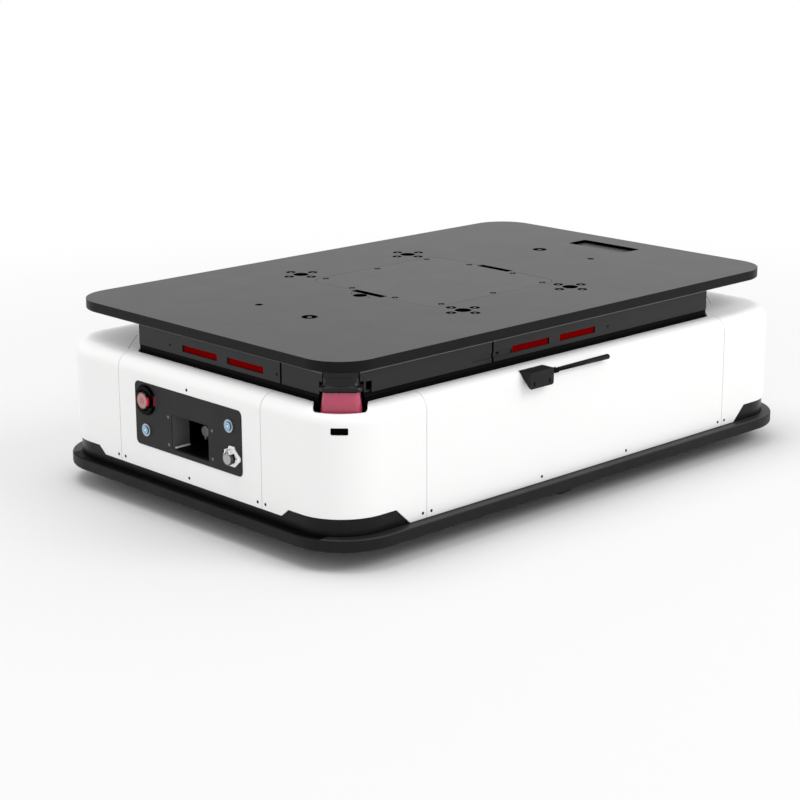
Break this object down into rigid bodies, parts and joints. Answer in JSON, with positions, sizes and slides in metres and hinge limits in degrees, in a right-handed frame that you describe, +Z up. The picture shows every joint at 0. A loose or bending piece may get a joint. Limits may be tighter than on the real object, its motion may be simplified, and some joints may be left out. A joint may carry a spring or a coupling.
{
  "type": "autonomous mobile robot",
  "caption": "Low-profile mobile robot with a lifting top plate, white panelled body, corner scanner, rubber bumper and a control panel with charging socket",
  "frame": {"origin": "on the floor under the centre of the bounding box, lift plate lowered", "axes": "+Z up, -X the end with the control panel, -Y the long side with the antenna"},
  "size_m": [1.061, 0.708, 0.3],
  "materials": {
    "white_shell": "satin white paint on folded sheet",
    "dark_steel": "satin black paint",
    "deck_grey": "fine-textured grey powder coat",
    "guard_grey": "satin charcoal paint",
    "frame_steel": "dark grey paint",
    "rubber": "matt black rubber",
    "bumper_foam": "matt black moulded rubber",
    "tyre": "bonded polyurethane tread on a cast hub",
    "red_window": "dark red infrared window",
    "pink_window": "tinted scanner window",
    "black_plastic": "fine matt plastic",
    "panel_black": "satin black faceplate",
    "red_plastic": "gloss red plastic",
    "blue_plastic": "gloss blue plastic",
    "bright_steel": "bright machined steel",
    "screw_steel": "zinc-plated steel",
    "copper_contact": "plated contact metal",
    "aluminium": "natural anodised aluminium",
    "battery_case": "painted steel case"
  },
  "bodies": {
    "chassis": {"base_plate": "frame_steel", "chassis_frame": "frame_steel", "chassis_top_plate": "dark_steel", "base_skirt": "dark_steel", "bumper": "bumper_foam", "end_panel_front": "white_shell", "end_panel_rear": "white_shell", "side_panel_right": "white_shell", "side_panel_left": "white_shell", "corner_shell_front_right": "white_shell", "corner_shell_front_left": "white_shell", "corner_shell_rear_right": "white_shell", "corner_shell_rear_left": "white_shell", "rim_seal": "rubber", "guard_left": "guard_grey", "guard_right": "guard_grey", "lidar_guard_front": "guard_grey", "lidar_guard_rear": "guard_grey", "sensor_windows": "red_window", "lidar_front": "black_plastic", "lidar_rear": "black_plastic", "lidar_windows": "pink_window", "control_panel": "panel_black", "charge_port": "black_plastic", "charge_contacts": "copper_contact", "stop_shroud": "black_plastic", "button_bezels": "bright_steel", "service_port": "bright_steel", "antenna_bracket": "dark_steel", "battery_pack": "battery_case", "controller_box": "aluminium", "lift_motor": "black_plastic", "lift_belt": "rubber", "lift_guides": "aluminium", "drive_motors": "black_plastic", "panel_screws": "screw_steel"},
    "lift": {"lift_plate": "deck_grey", "access_cover": "deck_grey", "deck_screws": "screw_steel", "lift_columns": "bright_steel"},
    "lead_screw_front_right": {"lead_screw_front_right": "bright_steel"},
    "lead_screw_front_left": {"lead_screw_front_left": "bright_steel"},
    "lead_screw_rear_right": {"lead_screw_rear_right": "bright_steel"},
    "lead_screw_rear_left": {"lead_screw_rear_left": "bright_steel"},
    "lift_pulley": {"lift_pulley": "aluminium"},
    "drive_wheel_right": {"drive_wheel_right": "tyre"},
    "drive_wheel_left": {"drive_wheel_left": "tyre"},
    "caster_fork_front_right": {"caster_fork_front_right": "bright_steel"},
    "caster_wheel_front_right": {"caster_wheel_front_right": "tyre"},
    "caster_fork_front_left": {"caster_fork_front_left": "bright_steel"},
    "caster_wheel_front_left": {"caster_wheel_front_left": "tyre"},
    "caster_fork_rear_right": {"caster_fork_rear_right": "bright_steel"},
    "caster_wheel_rear_right": {"caster_wheel_rear_right": "tyre"},
    "caster_fork_rear_left": {"caster_fork_rear_left": "bright_steel"},
    "caster_wheel_rear_left": {"caster_wheel_rear_left": "tyre"},
    "stop_button": {"stop_button": "red_plastic"},
    "push_button_left": {"push_button_left": "blue_plastic"},
    "push_button_right": {"push_button_right": "blue_plastic"},
    "service_cap": {"service_cap": "bright_steel"},
    "antenna_rod": {"antenna_rod": "black_plastic"}
  },
  "joints": [
    {"name": "lift_slide", "type": "slide", "parent": "chassis", "child": "lift", "axis": [0, 0, 1], "range_m": [0, 0.06]},
    {"name": "lead_screw_front_right_turn", "type": "hinge", "parent": "chassis", "child": "lead_screw_front_right", "pos_m": [-0.124, -0.191, 0.12], "axis": [0, 0, 1], "range_deg": [-5, 1090]},
    {"name": "lead_screw_front_left_turn", "type": "hinge", "parent": "chassis", "child": "lead_screw_front_left", "pos_m": [-0.124, 0.191, 0.12], "axis": [0, 0, 1], "range_deg": [-5, 1090]},
    {"name": "lead_screw_rear_right_turn", "type": "hinge", "parent": "chassis", "child": "lead_screw_rear_right", "pos_m": [0.124, -0.191, 0.12], "axis": [0, 0, 1], "range_deg": [-5, 1090]},
    {"name": "lead_screw_rear_left_turn", "type": "hinge", "parent": "chassis", "child": "lead_screw_rear_left", "pos_m": [0.124, 0.191, 0.12], "axis": [0, 0, 1], "range_deg": [-5, 1090]},
    {"name": "lift_pulley_turn", "type": "hinge", "parent": "chassis", "child": "lift_pulley", "pos_m": [-0.23, 0, 0.06], "axis": [0, 0, 1], "range_deg": [-5, 1090]},
    {"name": "drive_wheel_right_roll", "type": "hinge", "parent": "chassis", "child": "drive_wheel_right", "pos_m": [0, -0.276, 0.085], "axis": [0, 1, 0], "continuous": true},
    {"name": "drive_wheel_left_roll", "type": "hinge", "parent": "chassis", "child": "drive_wheel_left", "pos_m": [0, 0.276, 0.085], "axis": [0, 1, 0], "continuous": true},
    {"name": "caster_swivel_front_right", "type": "hinge", "parent": "chassis", "child": "caster_fork_front_right", "pos_m": [-0.41, -0.235, 0.09], "axis": [0, 0, 1], "continuous": true},
    {"name": "caster_roll_front_right", "type": "hinge", "parent": "caster_fork_front_right", "child": "caster_wheel_front_right", "pos_m": [-0.382, -0.235, 0.0375], "axis": [0, 1, 0], "continuous": true},
    {"name": "caster_swivel_front_left", "type": "hinge", "parent": "chassis", "child": "caster_fork_front_left", "pos_m": [-0.41, 0.235, 0.09], "axis": [0, 0, 1], "continuous": true},
    {"name": "caster_roll_front_left", "type": "hinge", "parent": "caster_fork_front_left", "child": "caster_wheel_front_left", "pos_m": [-0.382, 0.235, 0.0375], "axis": [0, 1, 0], "continuous": true},
    {"name": "caster_swivel_rear_right", "type": "hinge", "parent": "chassis", "child": "caster_fork_rear_right", "pos_m": [0.41, -0.235, 0.09], "axis": [0, 0, 1], "continuous": true},
    {"name": "caster_roll_rear_right", "type": "hinge", "parent": "caster_fork_rear_right", "child": "caster_wheel_rear_right", "pos_m": [0.438, -0.235, 0.0375], "axis": [0, 1, 0], "continuous": true},
    {"name": "caster_swivel_rear_left", "type": "hinge", "parent": "chassis", "child": "caster_fork_rear_left", "pos_m": [0.41, 0.235, 0.09], "axis": [0, 0, 1], "continuous": true},
    {"name": "caster_roll_rear_left", "type": "hinge", "parent": "caster_fork_rear_left", "child": "caster_wheel_rear_left", "pos_m": [0.438, 0.235, 0.0375], "axis": [0, 1, 0], "continuous": true},
    {"name": "stop_push", "type": "slide", "parent": "chassis", "child": "stop_button", "axis": [1, 0, 0], "range_m": [0, 0.003]},
    {"name": "push_button_left_push", "type": "slide", "parent": "chassis", "child": "push_button_left", "axis": [1, 0, 0], "range_m": [0, 0.0015], "stiffness_N_per_m": 400},
    {"name": "push_button_right_push", "type": "slide", "parent": "chassis", "child": "push_button_right", "axis": [1, 0, 0], "range_m": [0, 0.0015], "stiffness_N_per_m": 400},
    {"name": "service_cap_hinge", "type": "hinge", "parent": "chassis", "child": "service_cap", "pos_m": [-0.5263, -0.107, 0.1388], "axis": [0, 1, 0], "range_deg": [0, 100]},
    {"name": "antenna_fold", "type": "hinge", "parent": "chassis", "child": "antenna_rod", "pos_m": [-0.08005, -0.345, 0.225], "axis": [0, -1, 0], "range_deg": [0, 90]}
  ],
  "couplings": [
    {"joint": "lead_screw_front_right_turn", "follows": "lift_slide", "rad_per_m": 314.16},
    {"joint": "lead_screw_front_left_turn", "follows": "lift_slide", "rad_per_m": 314.16},
    {"joint": "lead_screw_rear_right_turn", "follows": "lift_slide", "rad_per_m": 314.16},
    {"joint": "lead_screw_rear_left_turn", "follows": "lift_slide", "rad_per_m": 314.16},
    {"joint": "lift_pulley_turn", "follows": "lift_slide", "rad_per_m": 314.16}
  ]
}
